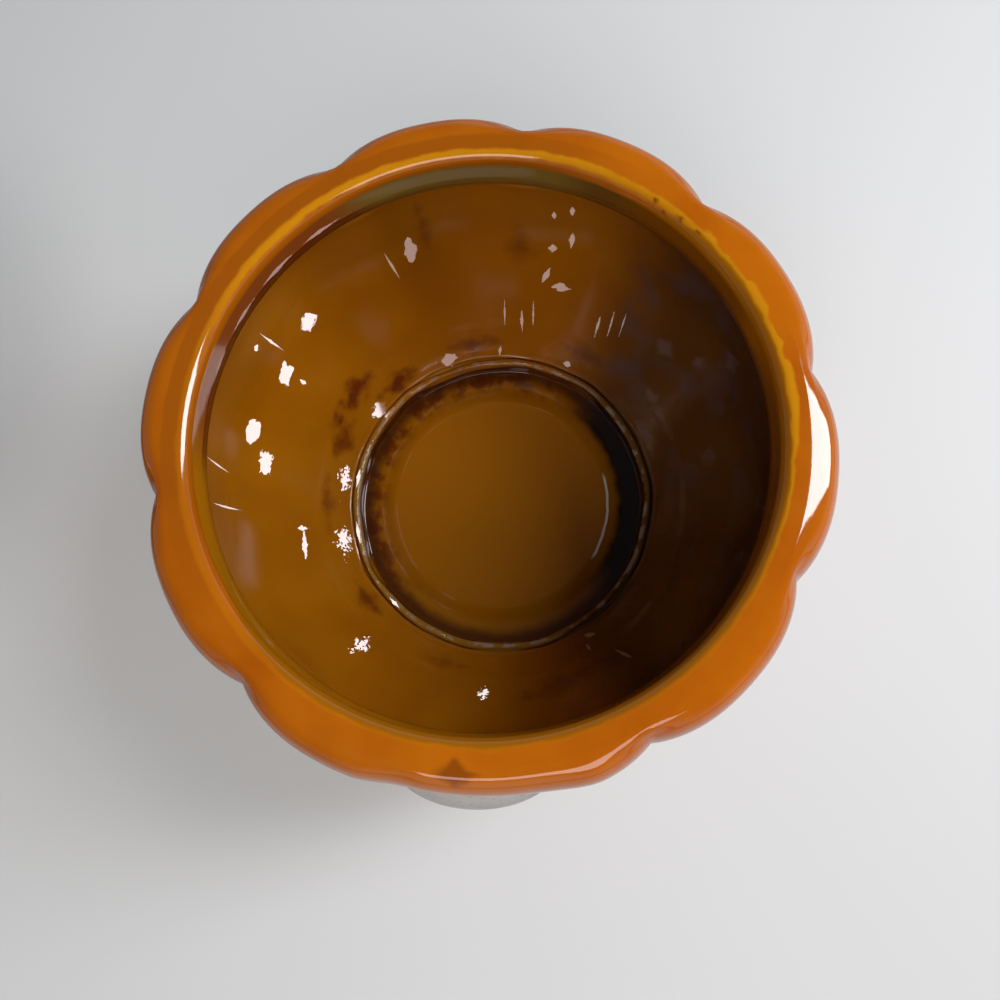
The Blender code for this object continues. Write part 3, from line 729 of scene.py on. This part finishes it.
def lid_outline():
    """The lid's section, and the place in it of the flange's lower edge. Heights count from the seat."""
    round_ = LID_EDGE / 2
    dome = (LID_RADIUS - LID_SHOULDER, LID_TOP - LID_EDGE)
    top = [(0, PAD_HEIGHT), (PAD_RADIUS * 0.6, PAD_HEIGHT), (PAD_RADIUS, PAD_HEIGHT)]
    top += [(PAD_RADIUS + 1 * MM, PAD_HEIGHT + 0.1 * MM), (PAD_RADIUS + 2 * MM, PAD_HEIGHT + 0.5 * MM)]
    top += arc((LID_SHOULDER, LID_EDGE), dome, 90, 0, 40)
    top += arc((LID_RADIUS - round_, round_), (round_, round_), -10, -90, 8)

    plug_inner = PLUG_RADIUS - PLUG_WALL
    plug_foot = PLUG_EDGE - PLUG_DEPTH
    flange = [(PLUG_RADIUS + PLUG_FILLET, 0), (PLUG_RADIUS, -PLUG_FILLET)]
    flange += arc((PLUG_RADIUS - PLUG_EDGE, plug_foot), (PLUG_EDGE, PLUG_EDGE), 0, -90, 7)
    flange += arc((plug_inner + PLUG_EDGE, plug_foot), (PLUG_EDGE, PLUG_EDGE), -90, -180, 7)

    ceiling = PAD_HEIGHT - LID_WALL
    room = (LID_RADIUS - LID_WALL - LID_SHOULDER, ceiling - 1 * MM)
    hollow = arc((plug_inner + PLUG_EDGE, LID_WALL - PLUG_EDGE), (-PLUG_EDGE, PLUG_EDGE), 0, 90, 5)
    hollow += [(LID_RADIUS - LID_WALL - PLUG_EDGE, LID_WALL)]
    hollow += arc((LID_SHOULDER, 1 * MM), room, 12, 84, 28)
    hollow += [(PAD_RADIUS - 1 * MM, ceiling), (PAD_RADIUS / 2, ceiling), (0, ceiling)]

    def outer(radius, height):
        off_edge = 1 - LID_EDGE_SHALLOWER * (1 - smooth(height, 1 * MM, 12 * MM))
        depth = LID_GROOVE * smooth(radius, PAD_RADIUS + 2 * MM, 42 * MM) * off_edge
        return Vector((radius, height)).normalized() * depth

    def inner(radius, height):
        depth = LID_INNER_GROOVE * smooth(radius, PAD_RADIUS, 48 * MM) * smooth(height, LID_WALL, 12 * MM)
        return Vector((radius, height)).normalized() * depth

    outline = [(*point, *outer(*point), 0) for point in top]
    outline += [(*point, 0, 0, 0) for point in flange]
    outline += [(*point, *inner(*point), 1) for point in hollow]
    return outline, len(top) - 1


glaze, shader, place = new_material("lid glaze", GLOSS)
valley = place.kept("valley")
edge = place.kept("rim") + (place.cloud(5 * MM) - 0.5) * 2.2
blots = place.cloud(38 * MM, 4).rises(0.38, 0.66)
mottle = place.cloud(6 * MM, 4)
colour = (valley * 0.6 + blots * 0.5).tints(ORANGE, DEEP_ORANGE)
colour = (edge.rises(-52, -62) * 0.8).tints(colour, POOL_AND_SHADE)
colour = edge.band(-2.6, 1, 1).tints(colour, YELLOW)
amber = (mottle.rises(0.5, 0.7) * 0.6).tints(blots.tints(AMBER, CARAMEL), RED_BROWN)
amber = edge.band(22, 27, 1.5).tints(amber, YELLOW)
colour = edge.rises(9, 11).tints(colour, amber)
bare = edge.band(1.6, 9.4, 0.4)
joined(bare.tints(colour, BARE_CLAY), shader, "Base Color")
joined(GLOSS + bare * 0.7, shader, "Roughness")
relief = place.cloud(1.5 * MM) * 0.01 + place.cloud(9 * MM, 1) * 0.06 + bare * mottle * 0.15
joined(relief.bump(), shader, "Normal")

lid_profile, flange_edge = lid_outline()
lid = turned(lid_profile, LID_STEPS, crest=flange_edge)
press_grooves(lid)
bmesh.ops.transform(lid, matrix=swung_off @ Matrix.Translation(seat), verts=lid.verts)
finished("lid", lid, glaze, "lid", "lid_glaze", "lid_shell")

# The stem is the lid's knob: clay drawn out by hand, fluted and twisted, luted to the lid and cut off at a
# slant. Its olive glaze breaks to brown on the flutes' edges, and its cut end is bare.
STEM_GAP = 0.3 * MM
STEM_FOOT_RADIUS = 13.5 * MM
STEM_WAIST_RADIUS = 7.5 * MM
STEM_END_RADIUS = 10.5 * MM
STEM_LENGTH = 46 * MM
STEM_LEAN = 8 * MM
STEM_TWIST = radians(25)
STEM_FLUTES = 5
STEM_FLUTE_DEPTH = 0.09
STEM_RIPPLE = 0.012
STEM_STEPS = 100
STEM_RINGS = 60
STEM_GREEN = (0.115, 0.135, 0.022, 1)
STEM_DARK = (0.045, 0.050, 0.012, 1)
STEM_BROWN = (0.20, 0.095, 0.018, 1)


def stem_ring(share):
    """The middle and the radius of the stem at a share of its length, from a wide foot past a waist."""
    foot = (STEM_FOOT_RADIUS - STEM_WAIST_RADIUS) * (1 - share) ** 3
    end = (STEM_END_RADIUS - STEM_WAIST_RADIUS) * share ** 2
    return Vector((STEM_LEAN * share ** 2, 0, STEM_LENGTH * share)), STEM_WAIST_RADIUS + foot + end


stem = bmesh.new()
valley = stem.verts.layers.float.new("valley")
bmesh.ops.create_circle(stem, cap_ends=True, segments=STEM_STEPS, radius=1)
ring = list(stem.verts)
for i in range(STEM_RINGS + 1):
    share = i / STEM_RINGS
    middle, thick = stem_ring(share)
    for k, point in enumerate(ring):
        angle = 2 * pi * k / STEM_STEPS
        flute = STEM_FLUTE_DEPTH * cos(STEM_FLUTES * angle)
        flute += STEM_RIPPLE * sin(3 * STEM_FLUTES * angle + 9 * share)
        point[valley] = (1 - cos(STEM_FLUTES * angle)) / 2
        angle += STEM_TWIST * share
        point.co = middle + Vector((cos(angle), sin(angle), 0)) * thick * (1 + flute)
    if i < STEM_RINGS:
        below = set(ring)
        sides = [edge for edge in stem.edges if below.issuperset(edge.verts)]
        grown = bmesh.ops.extrude_edge_only(stem, edges=sides)["geom"]
        above = {point for point in grown if isinstance(point, bmesh.types.BMVert)}
        ring = [next(e.other_vert(p) for e in p.link_edges if e.other_vert(p) in above) for p in ring]
bmesh.ops.contextual_create(stem, geom=ring)
pad = seat + Vector((0, 0, PAD_HEIGHT + STEM_GAP))
bmesh.ops.transform(stem, matrix=swung_off @ Matrix.Translation(pad), verts=stem.verts)
cut_off(stem, place=(0, 0, 0), normal=(0, 0, -1))

green, shader, place = new_material("stem glaze", 0.2)
valley = place.kept("valley")
level = place.along("Z") * (1 / MM)
deep = (valley * 0.8 + place.cloud(5 * MM, 3) - 0.5).rises(0.2, 0.9)
breaks = (place.cloud(2.5 * MM, 3) - valley * 0.5).rises(0.42, 0.6)
bare = level.rises(0.7, 0.3)
colour = (breaks * 0.8).tints(deep.tints(STEM_GREEN, STEM_DARK), STEM_BROWN)
joined(bare.tints(colour, BARE_CLAY), shader, "Base Color")
joined(0.2 + bare * 0.6, shader, "Roughness")
joined((place.cloud(1.4 * MM, 3, (1, 1, 0.25)) * 0.25).bump(), shader, "Normal")
finished("stem", stem, green, "lid", "stem_glaze", "lid_stem")

# The seal is one ring of pale silicone rubber, moulded with two thin fins that bend against the collar. It is
# stretched over the lid's plug, and pulls off for washing.
SEAL_GAP = 0.35 * MM
SEAL_BAND = 1.15 * MM
SEAL_HEIGHT = 7.2 * MM
SEAL_STEPS = 180
COLLAR_GAP = 0.4 * MM
FIN_HEIGHTS = (1.2 * MM, 4.4 * MM)
FIN_ROOT = 1.3 * MM
FIN_TIP = 0.5 * MM
FIN_RISE = 1.1 * MM
SEAL_EDGE = 0.12 * MM
RUBBER = (0.66, 0.65, 0.60, 1)
RUBBER_SHADE = (0.54, 0.52, 0.46, 1)

inner = PLUG_RADIUS + SEAL_GAP
band = inner + SEAL_BAND
tip = COLLAR_RADIUS - COLLAR_GAP
foot = -SEAL_HEIGHT - SEAT_GAP
section = [(inner, foot), (band, foot)]
for fin in FIN_HEIGHTS:
    root = foot + fin
    rise = root + FIN_RISE
    section += [(band, root), (tip, rise), (tip, rise + FIN_TIP), (band, root + FIN_ROOT)]
section += [(band, -SEAT_GAP), (inner, -SEAT_GAP)]
ring = turned([(*point, 0, 0, 0) for point in section], SEAL_STEPS)
bmesh.ops.transform(ring, matrix=swung_off @ Matrix.Translation(seat), verts=ring.verts)

rubber, shader, place = new_material("seal rubber", 0.48)
shader.inputs["Subsurface Weight"].default_value = 0.25
shader.inputs["Subsurface Scale"].default_value = 2 * MM
shader.inputs["Subsurface Radius"].default_value = (1, 0.9, 0.7)
haze = place.cloud(14 * MM, 3).rises(0.35, 0.7)
joined(haze.tints(RUBBER, RUBBER_SHADE), shader, "Base Color")
joined(0.42 + place.cloud(3 * MM, 2) * 0.15, shader, "Roughness")
joined((place.cloud(0.8 * MM) * 0.02).bump(), shader, "Normal")
seal = finished("seal", ring, rubber, "seal", "seal_rubber", "rubber_seal")
rounded = seal.modifiers.new("rounded edges", "BEVEL")
rounded.width = SEAL_EDGE
rounded.segments = 2
rounded.limit_method = "ANGLE"
